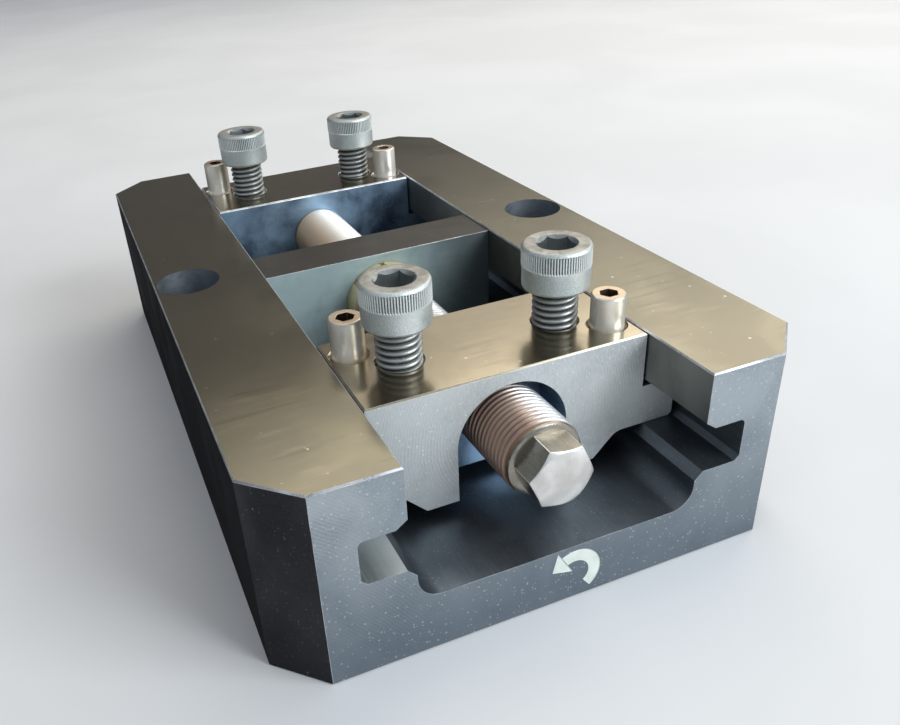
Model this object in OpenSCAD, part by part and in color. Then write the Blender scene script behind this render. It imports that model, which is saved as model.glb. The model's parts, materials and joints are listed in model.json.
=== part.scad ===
// Self-centering machine vise: one screw with opposite threads moves two jaw carriers together or apart.
// Origin at the middle of the underside. X to the right, Y from the drive end to the far end, Z up.

/* [Base] */
// Length of the base along the screw
body_l = 255; // [235:1:320]
// Thickness of the floor under the channel
base_floor = 17.8; // [14:0.1:30]
// Chamfer on the four upright corners
corner_cham = 12.7; // [4:0.1:18]
// Bevel on the outer edges of the base
edge_bevel = 0.4; // [0.2:0.1:2]
// Bevel on the top inner edges of the rails
rail_bevel = 0.4; // [0.2:0.1:1.5]

/* [Channel] */
// Width of the slot between the rails
slot_w = 82.4; // [80:0.1:110]
// Depth of each key groove behind the slot wall
groove_depth = 12.4; // [9:0.1:18]
// Height of each key groove
groove_h = 12.9; // [10:0.1:18]
// Thickness of the rail above its key groove
rail_lip = 16.7; // [13:0.1:25]
// Drop from the floor of the key grooves to the floor of the channel
pocket_drop = 10.6; // [9.5:0.1:20]
// Step of the channel wall in from the slot wall, below the grooves
pocket_step = 1.5; // [0.5:0.1:4]
// Radius along the bottom corners of the channel
pocket_r = 6.35; // [2:0.05:8]
// Width of the chamfer under each rail
lip_cham_w = 3; // [1:0.1:5]
// Height of the chamfer under each rail
lip_cham_h = 2.2; // [1:0.1:5]
// Chamfer on the ledge between groove and channel
ledge_cham = 2.4; // [0.5:0.1:4]
// Radius in the upper outer corner of each groove
groove_r = 1.6; // [0.5:0.1:3]
// Chamfer in the lower outer corner of each groove
groove_cham = 1.5; // [0.5:0.1:3]

/* [Mounting holes] */
// Hole for a half-inch mounting bolt
bolt_hole_d = 13.5; // [9:0.1:16]
// Counterbore for the head of the mounting bolt
bolt_cbore_d = 20.6; // [17:0.1:26]
// Depth of that counterbore
bolt_cbore_depth = 14; // [8:0.5:24]
// Wall on each side of the counterbore
cbore_wall = 1; // [0.6:0.1:6]

/* [Lead screw] */
// Thread diameter of the lead screw
screw_d = 22.225; // [18:0.005:26]
// Thread pitch of the lead screw
screw_pitch = 1.8143; // [1:0.0001:3]
// Depth of the screw's axis below the top of the base
screw_drop = 17.95; // [16:0.05:22]
// Set-back of the drive end from the end of the base
drive_inset = 0.1; // [0.1:0.1:20]
// Across flats of the hex drive
hex_af = 15.875; // [10:0.005:17]
// Length of the hex drive
hex_len = 8.9; // [6:0.1:20]
// Turn of the hex about the screw
hex_turn = 53.2; // [0:0.1:60]
// Height of the cone on the end of the hex
hex_dome = 0.5; // [0.3:0.1:3]
// Chamfer on the ends of the thread
screw_cham = 1.6; // [0.5:0.1:3]
// Step from thread to journal, on the radius
journal_step = 0.2; // [0.15:0.01:1]
// Height of the collar above the journal
collar_rise = 2.8; // [1.5:0.1:6]
// Length of the collar along the screw
collar_l = 5; // [3:0.1:10]

/* [Centre bearing] */
// Thickness of the centre block along the screw
block_t = 19.6; // [16:0.1:30]
// Distance of the block's top below the top of the base
block_low = 0.8; // [0.2:0.1:3]
// Wall of the bush
bush_wall = 1.7; // [1:0.1:4]
// Width of the thrust washers, on the radius
washer_band = 2.3; // [1.5:0.1:5]
// Thickness of the thrust washers
washer_t = 2; // [1:0.1:4]
// How far the thrust washers stand out of the block
washer_proud = 0.2; // [0.1:0.05:0.5]
// Thickness of the lock nut along the screw
nut_t = 6.5; // [4:0.1:10]
// Wall of the lock nut
nut_wall = 2.9; // [2.2:0.1:6]
// Number of spanner slots in the lock nut
nut_slots = 8; // [4:1:12]
// Width of the spanner slots
nut_slot_w = 2.2; // [1:0.1:4]
// Depth of the spanner slots
nut_slot_depth = 1.2; // [0.5:0.1:1.8]
// Turn of the lock nut about the screw
nut_turn = 42; // [0:1:360]
// Diameter of the set screw in the lock nut
set_screw_d = 3; // [2:0.1:4]
// Diameter of the screws that hold the block
block_screw_d = 9.525; // [6:0.005:10]
// Length of thread of those screws in the block
block_screw_grip = 14; // [8:0.5:18]
// Diameter of the dowels that locate the block
block_dowel_d = 6.35; // [4:0.05:8]
// Half the spacing of those dowels
block_dowel_x = 16.5; // [10:0.5:17]
// Metal left between those screws and dowels
block_fix_gap = 1.5; // [1:0.1:3]

/* [Carriers] */
// Length of each carrier along the screw
carrier_l = 38.1; // [34:0.1:50]
// Distance of each carrier from the nearest end of the base
carrier_inset = 25.65; // [14:0.05:48]
// Distance of the carrier's top below the top of the base
carrier_low = 0.2; // [0.1:0.05:1]
// Gap between the end of each key and its groove
key_end_gap = 1.8; // [1:0.1:4]
// Chamfer on the ends of the keys
key_cham = 1; // [0.5:0.1:2]
// Gap under the carrier's feet
foot_gap = 3.6; // [2:0.1:6]
// Width of the carrier across its feet
foot_w = 51.7; // [44:0.1:60]
// Radius where the feet meet the keys
foot_r = 5; // [1:0.1:8]
// Width of the arched recess round the screw
arch_w = 32.7; // [28:0.1:34]
// Distance of the arch's centre below the screw's axis
arch_low = 2.6; // [0:0.1:4]
// Depth of the arched recess from the outer face
arch_depth = 13.7; // [4:0.1:18]
// Bevel on the top edges of the carriers
carrier_bevel = 0.4; // [0.1:0.1:1]

/* [Jaw screws] */
// Thread diameter of the jaw screws
jaw_d = 12.7; // [10:0.1:14]
// Thread pitch of the jaw screws
jaw_pitch = 1.954; // [1.25:0.001:2.5]
// Length of the jaw screws under the head
jaw_len = 31.75; // [28:0.05:36]
// Height of the bottom of the tapped holes above the underside of the keys
jaw_hole_up = 0.5; // [0:0.1:6]
// Distance of the jaw screws from the nearest dowel, across the vise
jaw_to_dowel = 11; // [8:0.1:12]
// Head diameter of the jaw screws
jaw_head_d = 19.05; // [16:0.05:20]
// Head height of the jaw screws
jaw_head_h = 12.7; // [10:0.1:14]
// Across flats of the socket in the jaw screws
jaw_socket_af = 9.525; // [6:0.005:11]
// Depth of that socket
jaw_socket_depth = 6.4; // [4:0.1:8]
// Bevel round the mouth of that socket, past its corners
jaw_socket_cham = 0.3; // [0.2:0.05:1]
// Width of the chamfer round the top of the head
jaw_head_cham = 0.9; // [0.4:0.1:1.5]
// Height of that chamfer
jaw_head_drop = 1.3; // [0.5:0.1:2]
// Turn of the sockets, front left screw first, then front right, rear left and rear right
jaw_turns = [24, 57, 40, 10]; // [0:1:60]
// Height of the head of the front left screw above its carrier
front_left_stand = 11; // [4:0.1:13]
// Height of the head of the front right screw above its carrier
front_right_stand = 10.6; // [4:0.1:13]
// Height of the head of the rear left screw above its carrier
rear_left_stand = 13; // [4:0.1:14]
// Height of the head of the rear right screw above its carrier
rear_right_stand = 12.2; // [4:0.1:14]

/* [Dowels] */
// Diameter of the hollow dowels
dowel_d = 9.525; // [7:0.005:11]
// Distance of the dowels from the side of the carrier
dowel_edge = 6.2; // [5.6:0.1:8]
// Gap between a dowel and the head of the screw beside it
dowel_head_gap = 0.1; // [0.1:0.05:2]
// Depth of the dowels in the carrier
dowel_depth = 14; // [8:0.1:18]
// Bevel round the mouths of the dowel holes
dowel_hole_bevel = 1; // [0.3:0.1:1.2]
// Chamfer round the top of the dowels
dowel_cham = 0.4; // [0.2:0.05:1]
// Across flats of the socket in the dowels
dowel_socket_af = 4.7625; // [3:0.0005:6]
// Depth of that socket
dowel_socket_depth = 8; // [4:0.1:12]
// Height of the front left dowel above its carrier
front_left_rise = 11.5; // [6:0.1:14]
// Height of the front right dowel above its carrier
front_right_rise = 9.5; // [6:0.1:14]
// Height of the rear left dowel above its carrier
rear_left_rise = 12.3; // [6:0.1:14]
// Height of the rear right dowel above its carrier
rear_right_rise = 11.5; // [6:0.1:14]

/* [Clearances] */
// Sliding gap between carrier and slot, on each side
slide_gap = 0.4; // [0.2:0.05:0.8]
// Sliding gap above and below the keys
key_gap = 0.2; // [0.1:0.05:0.5]
// Gap between a screw and its threaded hole, on the radius
thread_gap = 0.1; // [0.05:0.01:0.3]
// Gap round pieces that are pressed or set in, on the radius
seat_gap = 0.02; // [0.01:0.01:0.1]
// Running gap of the journal in its bush, on the radius
run_gap = 0.05; // [0.02:0.01:0.1]
// Gap round a bolt in a plain hole, on the radius
bolt_gap = 0.4; // [0.2:0.05:1]
// Bevel round the mouths of holes
hole_bevel = 0.5; // [0.2:0.1:1.5]

/* [Hidden] */
$fn = 96;
// A cut passes a face by this much
cut = 1;
// Heights of the channel
floor_z = base_floor;
groove_floor_z = floor_z + pocket_drop;
groove_top_z = groove_floor_z + groove_h;
body_h = groove_top_z + rail_lip;
axis_z = body_h - screw_drop;
// Half widths of the channel and width of the base
slot_half = slot_w / 2;
groove_half = slot_half + groove_depth;
pocket_half = slot_half - pocket_step;
rail_wall = bolt_cbore_d + 2 * cbore_wall;
body_w = 2 * (groove_half + rail_wall);
bolt_x = groove_half + rail_wall / 2;
// Places along the screw, from the middle of the vise
washer_face = block_t / 2 + washer_proud;
nut_face = washer_face + run_gap;
screw_end = body_l / 2 - drive_inset - hex_len;
// Radii about the screw
screw_r = screw_d / 2;
screw_depth = 0.58 * screw_pitch;
journal_r = screw_r + journal_step;
bush_r = journal_r + run_gap + bush_wall;
washer_in_r = journal_r + 4 * run_gap;
washer_r = washer_in_r + washer_band;
nut_r = screw_r + thread_gap + nut_wall;
// Socket head screws that hold the block, in proportion to their thread
block_head_d = 1.5 * block_screw_d;
block_head_recess = block_screw_d + 1;
block_socket_af = 0.8 * block_screw_d;
block_socket_depth = 0.5 * block_screw_d;
block_screw_x = block_dowel_x + (block_dowel_d + block_screw_d) / 2 + block_fix_gap;
block_dowel_in = floor_z - block_head_recess - block_fix_gap;
// The carrier
carrier_y = (body_l - carrier_l) / 2 - carrier_inset;
carrier_top = body_h - carrier_low;
neck_half = slot_half - slide_gap;
key_half = groove_half - key_end_gap;
key_top_z = groove_top_z - key_gap;
key_floor_z = groove_floor_z + key_gap;
foot_z = floor_z + foot_gap;
foot_half = foot_w / 2;
foot_corner = foot_half + key_floor_z - foot_z;
dowel_x = neck_half - dowel_edge;
dowel_reach = (jaw_head_d + dowel_d) / 2 + dowel_head_gap;
dowel_off = sqrt(dowel_reach * dowel_reach - jaw_to_dowel * jaw_to_dowel);
jaw_x = dowel_x - jaw_to_dowel;
jaw_depth = 0.58 * jaw_pitch;
jaw_hole_depth = carrier_top - key_floor_z - jaw_hole_up;

// Points of a row of thread ridges from height z0 up, as [radius, height]
function ridges(r, depth, pitch, count, z0) = [
    for (i = [0:count - 1], p = [[0, 0], [0, 0.12], [depth, 0.43], [depth, 0.69]])
        [r - p[0], z0 + (i + p[1]) * pitch]
];

// An outline from the points of its right half, listed from top to bottom
function both_halves(right) = concat(
    right,
    [for (i = [len(right) - 1:-1:0]) [-right[i][0], right[i][1]]]
);

// A hexagon across flats, for prisms
module hexagon(af) {
    circle(d = af / cos(30), $fn = 6);
}

// Stands children that point up along Z on the screw's axis, at y
module along_screw(y) {
    translate([0, y, axis_z])
        rotate([-90, 0, 0])
            children();
}

// Pushes an outline drawn in X and Z along Y, from y0 to y1
module along_y(y0, y1) {
    translate([0, y1, 0])
        rotate([90, 0, 0])
            linear_extrude(y1 - y0)
                children();
}

// A shape and its mirror image across the middle
module both_sides() {
    children();
    mirror([1, 0])
        children();
}

// A bar that bevels an edge of the given length by size
module edge_bar(size, length) {
    rotate([0, 45, 0])
        cube([size * sqrt(2), length, size * sqrt(2)], center = true);
}

// A round hole from height z down, with a beveled mouth
module hole_down(d, z, depth, bevel = hole_bevel) {
    translate([0, 0, z - depth])
        cylinder(d = d, h = depth + cut);
    translate([0, 0, z - bevel])
        cylinder(d1 = d, d2 = d + 2 * (bevel + cut), h = bevel + cut);
}

// The channel as seen from the front: slot, key grooves and ledges
module channel_outline() {
    polygon(both_halves([
        [slot_half, body_h + cut],
        [slot_half, groove_top_z + lip_cham_h],
        [slot_half + lip_cham_w, groove_top_z],
        [groove_half - groove_r, groove_top_z],
        [groove_half, groove_top_z - groove_r],
        [groove_half, groove_floor_z + groove_cham],
        [groove_half - groove_cham, groove_floor_z],
        [pocket_half + ledge_cham, groove_floor_z],
        [pocket_half, groove_floor_z - ledge_cham],
        [pocket_half, floor_z + pocket_r],
        [pocket_half - pocket_r, floor_z]
    ]));
    both_sides() {
        translate([groove_half - groove_r, groove_top_z - groove_r])
            circle(groove_r);
        translate([pocket_half - pocket_r, floor_z + pocket_r])
            circle(pocket_r);
    }
}

module base_outline() {
    half_w = body_w / 2;
    half_l = body_l / 2;
    polygon([
        [half_w, half_l - corner_cham], [half_w - corner_cham, half_l],
        [corner_cham - half_w, half_l], [-half_w, half_l - corner_cham],
        [-half_w, corner_cham - half_l], [corner_cham - half_w, -half_l],
        [half_w - corner_cham, -half_l], [half_w, corner_cham - half_l]
    ]);
}

// Bevel bars along the eight edges of the base's outline
module outline_bars() {
    mid_w = (body_w - corner_cham) / 2;
    mid_l = (body_l - corner_cham) / 2;
    for (side = [-1, 1]) {
        translate([side * body_w / 2, 0, 0])
            edge_bar(edge_bevel, body_l);
        translate([0, side * body_l / 2, 0])
            rotate([0, 0, 90])
                edge_bar(edge_bevel, body_w);
        for (end = [-1, 1])
            translate([side * mid_w, end * mid_l, 0])
                rotate([0, 0, side * end * 45])
                    edge_bar(edge_bevel, 2 * corner_cham);
    }
}

// Hole, head recess and dowel hole for the centre block, on one side
module block_fixing_cuts() {
    translate([block_screw_x, 0, -cut]) {
        cylinder(d = block_screw_d + 2 * bolt_gap, h = floor_z + 2 * cut);
        cylinder(d = block_head_d + 2 * bolt_gap, h = block_head_recess + cut);
    }
    translate([block_dowel_x, 0, floor_z - block_dowel_in])
        cylinder(d = block_dowel_d + 2 * seat_gap, h = block_dowel_in + cut);
}

module base_body() {
    color("#26282c")
    difference() {
        linear_extrude(body_h)
            base_outline();
        along_y(-body_l / 2 - cut, body_l / 2 + cut)
            channel_outline();
        for (side = [-1, 1]) {
            translate([side * bolt_x, 0, 0]) {
                translate([0, 0, -cut])
                    cylinder(d = bolt_hole_d, h = body_h);
                translate([0, 0, body_h - bolt_cbore_depth])
                    cylinder(d = bolt_cbore_d, h = bolt_cbore_depth + cut);
            }
            translate([side * slot_half, 0, body_h])
                edge_bar(rail_bevel, body_l + 2 * cut);
        }
        for (side = [0, 1])
            mirror([side, 0, 0])
                block_fixing_cuts();
        for (z = [0, body_h])
            translate([0, 0, z])
                outline_bars();
    }
}

// The centre block as seen from the front, set on the channel floor
module block_outline() {
    polygon(both_halves([
        [slot_half - run_gap, body_h - block_low],
        [slot_half - run_gap, groove_floor_z + run_gap],
        [pocket_half - run_gap, groove_floor_z + run_gap],
        [pocket_half - run_gap, floor_z + pocket_r],
        [pocket_half - pocket_r - run_gap, floor_z]
    ]));
}

module centre_block() {
    seat = washer_t - washer_proud;
    color("#4d5559")
    difference() {
        along_y(-block_t / 2, block_t / 2)
            block_outline();
        along_screw(-block_t / 2 - cut)
            cylinder(r = bush_r + seat_gap, h = block_t + 2 * cut);
        along_screw(-block_t / 2 - cut)
            cylinder(r = washer_r + seat_gap, h = seat + cut);
        along_screw(block_t / 2 - seat)
            cylinder(r = washer_r + seat_gap, h = seat + cut);
        for (side = [-1, 1]) {
            translate([side * block_screw_x, 0, floor_z - cut])
                cylinder(r = block_screw_d / 2 + thread_gap, h = block_screw_grip + 2 * cut);
            translate([side * block_dowel_x, 0, floor_z - cut])
                cylinder(r = block_dowel_d / 2 + seat_gap, h = block_dowel_in + cut);
        }
    }
}

module block_screws() {
    color("#2e3033")
    for (side = [-1, 1])
        translate([side * block_screw_x, 0, 0])
            difference() {
                union() {
                    translate([0, 0, block_head_recess - block_screw_d])
                        cylinder(d = block_head_d, h = block_screw_d);
                    translate([0, 0, block_head_recess - cut])
                        cylinder(d = block_screw_d, h = floor_z - block_head_recess + block_screw_grip + cut);
                }
                translate([0, 0, block_head_recess - block_screw_d - cut])
                    linear_extrude(block_socket_depth + cut)
                        hexagon(block_socket_af);
            }
}

module block_dowels() {
    color("#b9bcbd")
    for (side = [-1, 1])
        translate([side * block_dowel_x, 0, floor_z - block_dowel_in])
            cylinder(d = block_dowel_d, h = 2 * block_dowel_in);
}

// Outline of the screw as [radius, distance from the middle], thread ridges along both ends
module screw_outline() {
    thread_from = screw_end - screw_cham;
    front_count = floor((thread_from - nut_face) / screw_pitch);
    rear_start = nut_face + collar_l;
    rear_count = floor((thread_from - rear_start) / screw_pitch);
    polygon(concat(
        [[0, -screw_end], [screw_r - screw_cham, -screw_end]],
        ridges(screw_r, screw_depth, screw_pitch, front_count, -thread_from),
        [
            [screw_r, front_count * screw_pitch - thread_from],
            [screw_r, -washer_face], [journal_r, -washer_face],
            [journal_r, nut_face], [journal_r + collar_rise, nut_face],
            [journal_r + collar_rise, rear_start], [screw_r, rear_start]
        ],
        ridges(screw_r, screw_depth, screw_pitch, rear_count, thread_from - rear_count * screw_pitch),
        [[screw_r, thread_from], [screw_r - screw_cham, screw_end], [0, screw_end]]
    ));
}

// Hex drive from its foot up, with a low cone on its end
module hex_drive() {
    corner_r = hex_af / 2 / cos(30);
    intersection() {
        rotate([0, 0, hex_turn])
            linear_extrude(hex_len + cut)
                hexagon(hex_af);
        rotate_extrude()
            polygon([[0, 0], [corner_r, 0], [corner_r, hex_len + cut - hex_dome], [0, hex_len + cut]]);
    }
}

module lead_screw() {
    color("#8f8478") {
        along_screw(0)
            rotate_extrude()
                screw_outline();
        along_screw(cut - screw_end)
            rotate([180, 0, 0])
                hex_drive();
    }
}

// A plain ring about the screw's axis, from y0 to y1
module ring(inner_r, outer_r, y0, y1) {
    along_screw(y0)
        difference() {
            cylinder(r = outer_r, h = y1 - y0);
            translate([0, 0, -cut])
                cylinder(r = inner_r, h = y1 - y0 + 2 * cut);
        }
}

module screw_bush() {
    half = block_t / 2 - washer_t + washer_proud;
    color("#a9743c")
        ring(journal_r + run_gap, bush_r, -half, half);
}

module front_thrust_washer() {
    color("#a9743c")
        ring(washer_in_r, washer_r, -washer_face, washer_t - washer_face);
}

module rear_thrust_washer() {
    color("#a9743c")
        ring(washer_in_r, washer_r, washer_face - washer_t, washer_face);
}

// Radial place of the set screw, in the middle of the lock nut and between two slots
module at_set_screw() {
    along_screw(-nut_face - nut_t / 2)
        rotate([0, 90, nut_turn + 180 / nut_slots])
            children();
}

module bearing_lock_nut() {
    color("#b08d3e")
    difference() {
        ring(screw_r + thread_gap, nut_r, -nut_face - nut_t, -nut_face);
        for (i = [1:nut_slots])
            along_screw(-nut_face - nut_t - cut)
                rotate([0, 0, nut_turn + i * 360 / nut_slots])
                    translate([nut_r - nut_slot_depth, -nut_slot_w / 2, 0])
                        cube([nut_slot_depth + cut, nut_slot_w, nut_t + 2 * cut]);
        at_set_screw()
            cylinder(r = set_screw_d / 2 + thread_gap, h = nut_r + cut);
    }
}

module lock_nut_set_screw() {
    seat_r = screw_r + thread_gap;
    socket_depth = nut_wall / 2;
    color("#2e3033")
    at_set_screw()
        difference() {
            translate([0, 0, seat_r])
                cylinder(d = set_screw_d, h = nut_wall - thread_gap);
            translate([0, 0, seat_r + nut_wall - socket_depth])
                linear_extrude(socket_depth + cut)
                    hexagon(set_screw_d / 2);
        }
}

// A carrier as seen from the front: neck, keys and feet
module carrier_outline() {
    bend = foot_r * tan(22.5);
    polygon(both_halves([
        [neck_half, carrier_top],
        [neck_half, key_top_z],
        [key_half - key_cham, key_top_z],
        [key_half, key_top_z - key_cham],
        [key_half, key_floor_z + key_cham],
        [key_half - key_cham, key_floor_z],
        [foot_corner, key_floor_z],
        [foot_half, foot_z]
    ]));
    both_sides()
        difference() {
            polygon([
                [foot_corner - cut, key_floor_z + cut],
                [foot_corner + bend, key_floor_z + cut],
                [foot_corner + bend, key_floor_z],
                [foot_corner - bend * cos(45), key_floor_z - bend * sin(45)],
                [foot_corner - bend * cos(45) - cut, key_floor_z - bend * sin(45)]
            ]);
            translate([foot_corner + bend, key_floor_z - foot_r])
                circle(foot_r);
        }
}

// A carrier as it stands at the front. The one at the rear is turned half round.
module carrier() {
    outer_y = -carrier_y - carrier_l / 2;
    arch_z = axis_z - arch_low;
    difference() {
        along_y(outer_y, outer_y + carrier_l)
            carrier_outline();
        along_screw(outer_y - cut)
            cylinder(r = screw_r + thread_gap, h = carrier_l + 2 * cut);
        along_y(outer_y - cut, outer_y + arch_depth) {
            translate([0, arch_z])
                circle(d = arch_w);
            translate([-arch_w / 2, foot_z - cut])
                square([arch_w, arch_z - foot_z + cut]);
        }
        for (side = [-1, 1]) {
            translate([side * jaw_x, -carrier_y, 0])
                hole_down(jaw_d + 2 * thread_gap, carrier_top, jaw_hole_depth);
            translate([side * dowel_x, -carrier_y - side * dowel_off, 0])
                hole_down(dowel_d + 2 * seat_gap, carrier_top, dowel_depth, dowel_hole_bevel);
            translate([side * neck_half, -carrier_y, carrier_top])
                edge_bar(carrier_bevel, carrier_l + 2 * cut);
            translate([0, -carrier_y + side * carrier_l / 2, carrier_top])
                rotate([0, 0, 90])
                    edge_bar(carrier_bevel, slot_w);
        }
    }
}

module front_carrier() {
    color("#8d8f8c")
        carrier();
}

module rear_carrier() {
    color("#8d8f8c")
        rotate([0, 0, 180])
            carrier();
}

// A jaw screw on its axis, its head at height stand above the carrier's top and its socket turned
module jaw_screw(stand, turn) {
    head_r = jaw_head_d / 2;
    under_cham = jaw_head_drop / 2;
    mouth_r = jaw_socket_af / sqrt(3) + jaw_socket_cham;
    mouth_h = mouth_r - jaw_socket_af / 2;
    count = floor((stand + jaw_pitch) / jaw_pitch);
    color("#5d6265")
    translate([0, 0, carrier_top + stand])
        difference() {
            rotate_extrude()
                polygon(concat(
                    [[0, -jaw_len], [jaw_d / 2 - jaw_depth, -jaw_len], [jaw_d / 2, jaw_depth - jaw_len]],
                    ridges(jaw_d / 2, jaw_depth, jaw_pitch, count, -count * jaw_pitch),
                    [
                        [jaw_d / 2, 0], [head_r - under_cham, 0], [head_r, under_cham],
                        [head_r, jaw_head_h - jaw_head_drop], [head_r - jaw_head_cham, jaw_head_h],
                        [0, jaw_head_h]
                    ]
                ));
            translate([0, 0, jaw_head_h - jaw_socket_depth])
                rotate([0, 0, turn])
                    linear_extrude(jaw_socket_depth + cut)
                        hexagon(jaw_socket_af);
            translate([0, 0, jaw_head_h - mouth_h])
                cylinder(r1 = mouth_r - mouth_h, r2 = mouth_r + cut, h = mouth_h + cut);
        }
}

// A hollow dowel on its axis, standing above the carrier's top by rise
module dowel(rise) {
    r = dowel_d / 2;
    color("#b5aba1")
    translate([0, 0, carrier_top])
        difference() {
            rotate_extrude()
                polygon([
                    [0, -dowel_depth], [r, -dowel_depth],
                    [r, rise - dowel_cham], [r - dowel_cham, rise], [0, rise]
                ]);
            translate([0, 0, rise - dowel_socket_depth])
                linear_extrude(dowel_socket_depth + cut)
                    hexagon(dowel_socket_af);
        }
}

module front_left_jaw_screw() {
    translate([-jaw_x, -carrier_y, 0])
        jaw_screw(front_left_stand, jaw_turns[0]);
}

module front_right_jaw_screw() {
    translate([jaw_x, -carrier_y, 0])
        jaw_screw(front_right_stand, jaw_turns[1]);
}

module rear_left_jaw_screw() {
    translate([-jaw_x, carrier_y, 0])
        jaw_screw(rear_left_stand, jaw_turns[2]);
}

module rear_right_jaw_screw() {
    translate([jaw_x, carrier_y, 0])
        jaw_screw(rear_right_stand, jaw_turns[3]);
}

module front_left_dowel() {
    translate([-dowel_x, -carrier_y + dowel_off, 0])
        dowel(front_left_rise);
}

module front_right_dowel() {
    translate([dowel_x, -carrier_y - dowel_off, 0])
        dowel(front_right_rise);
}

module rear_left_dowel() {
    translate([-dowel_x, carrier_y + dowel_off, 0])
        dowel(rear_left_rise);
}

module rear_right_dowel() {
    translate([dowel_x, carrier_y - dowel_off, 0])
        dowel(rear_right_rise);
}

base_body();
centre_block();
block_screws();
block_dowels();
lead_screw();
screw_bush();
front_thrust_washer();
rear_thrust_washer();
bearing_lock_nut();
lock_nut_set_screw();
front_carrier();
rear_carrier();
front_left_jaw_screw();
front_right_jaw_screw();
rear_left_jaw_screw();
rear_right_jaw_screw();
front_left_dowel();
front_right_dowel();
rear_left_dowel();
rear_right_dowel();
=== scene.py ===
import json
import math

import bpy
from mathutils import Matrix, Vector

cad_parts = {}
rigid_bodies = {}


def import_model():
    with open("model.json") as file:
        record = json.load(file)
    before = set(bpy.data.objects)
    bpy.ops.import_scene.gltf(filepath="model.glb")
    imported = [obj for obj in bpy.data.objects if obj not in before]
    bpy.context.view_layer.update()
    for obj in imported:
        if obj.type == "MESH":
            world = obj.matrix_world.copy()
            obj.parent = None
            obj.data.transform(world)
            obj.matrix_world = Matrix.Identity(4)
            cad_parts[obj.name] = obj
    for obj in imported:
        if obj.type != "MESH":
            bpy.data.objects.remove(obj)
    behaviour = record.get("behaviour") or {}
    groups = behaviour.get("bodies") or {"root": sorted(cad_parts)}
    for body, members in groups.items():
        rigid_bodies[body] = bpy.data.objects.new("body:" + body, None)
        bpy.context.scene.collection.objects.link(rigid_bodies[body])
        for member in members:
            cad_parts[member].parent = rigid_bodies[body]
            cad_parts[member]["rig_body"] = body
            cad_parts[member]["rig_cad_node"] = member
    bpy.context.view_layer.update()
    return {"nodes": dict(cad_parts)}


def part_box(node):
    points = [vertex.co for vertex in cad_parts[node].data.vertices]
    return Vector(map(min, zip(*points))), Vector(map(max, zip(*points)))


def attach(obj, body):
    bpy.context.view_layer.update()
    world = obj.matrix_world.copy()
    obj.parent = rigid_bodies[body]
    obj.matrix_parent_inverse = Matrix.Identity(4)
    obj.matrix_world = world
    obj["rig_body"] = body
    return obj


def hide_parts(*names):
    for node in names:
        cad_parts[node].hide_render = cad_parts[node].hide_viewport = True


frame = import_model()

MM = 0.001
FULL_TURN = 2.0 * math.pi

# Vertices closer than SEAM are merged, and faces that bend less than FLAT become one.
SEAM = 0.002 * MM
FLAT = math.radians(0.6)

# Sizes of the vise in millimetres, the same as in the part's source.
BODY_HALF_X = 76.2
BODY_HALF_Y = 127.5
BODY_TOP = 58.0
CORNER_CHAMFER = 12.7
SLOT_HALF = 41.2
LEDGE_UP = 28.4
AXIS_UP = 40.05
SCREW_R = 11.1125
SCREW_PITCH = 1.8143
SCREW_END = 118.5
SCREW_CHAMFER = 1.6
JOURNAL_R = 11.3125
JOURNAL_FRONT = -17.2
JOURNAL_BACK = 10.05
COLLAR_R = 14.11
COLLAR_BACK = 15.05
HEX_FLATS = 15.875
HEX_LENGTH = 8.9
HEX_TURN = 53.2
JAW_SCREW_R = 6.35
JAW_PITCH = 1.954
JAW_LENGTH = 31.75
HEAD_R = 9.525
HEAD_HEIGHT = 12.7
SOCKET_FLATS = 9.525
SOCKET_DEPTH = 6.4
JAW_SCREW_X = 23.6
CARRIER_Y = 82.8
CARRIER_TOP = 57.8
BOLT_X = 64.9
COUNTERBORE_R = 10.3
PIN_SOCKET_R = 2.9
PIN_SOCKET_DEPTH = 8.0

# The material slot that broken edges get. Every piece with such edges has their finish there.
EDGE_SLOT = 1


# Handling pieces

def take(piece):
    """Select one piece alone and make it the active one."""
    if bpy.context.object and bpy.context.object.mode != "OBJECT":
        bpy.ops.object.mode_set(mode="OBJECT")
    bpy.ops.object.select_all(action="DESELECT")
    piece.select_set(True)
    bpy.context.view_layer.objects.active = piece


def open_mesh(piece, kind="VERT"):
    """Go into edit mode on one piece, with everything in it selected."""
    take(piece)
    bpy.ops.object.mode_set(mode="EDIT")
    bpy.ops.mesh.select_mode(type=kind)
    bpy.ops.mesh.select_all(action="SELECT")


def close_mesh():
    bpy.ops.object.mode_set(mode="OBJECT")


def pick(piece, kind, test):
    """Open a piece with only the vertices, edges or faces selected that pass the test."""
    open_mesh(piece, kind)
    bpy.ops.mesh.select_all(action="DESELECT")
    close_mesh()
    mesh = piece.data
    items = {"VERT": mesh.vertices, "EDGE": mesh.edges, "FACE": mesh.polygons}[kind]
    for item in items:
        item.select = test(item)
    bpy.ops.object.mode_set(mode="EDIT")


def edge_middle(mesh, edge):
    return (mesh.vertices[edge.vertices[0]].co + mesh.vertices[edge.vertices[1]].co) / (2 * MM)


def twin(source, name):
    """A copy of a piece with a mesh of its own."""
    piece = source.copy()
    piece.data = source.data.copy()
    piece.name = name
    piece.data.name = name
    bpy.context.scene.collection.objects.link(piece)
    return piece


def lay_finishes(piece, finishes):
    """Give a piece its material slots, in order."""
    piece.data.materials.clear()
    for finish in finishes:
        piece.data.materials.append(finish)


def paint(piece, slot_of):
    """Put every face of a piece in the material slot that slot_of gives."""
    slots = [slot_of(face) for face in piece.data.polygons]
    for slot, _ in enumerate(piece.data.materials):
        pick(piece, "FACE", lambda face: slots[face.index] == slot)
        piece.active_material_index = slot
        bpy.ops.object.material_slot_assign()
        close_mesh()


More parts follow.
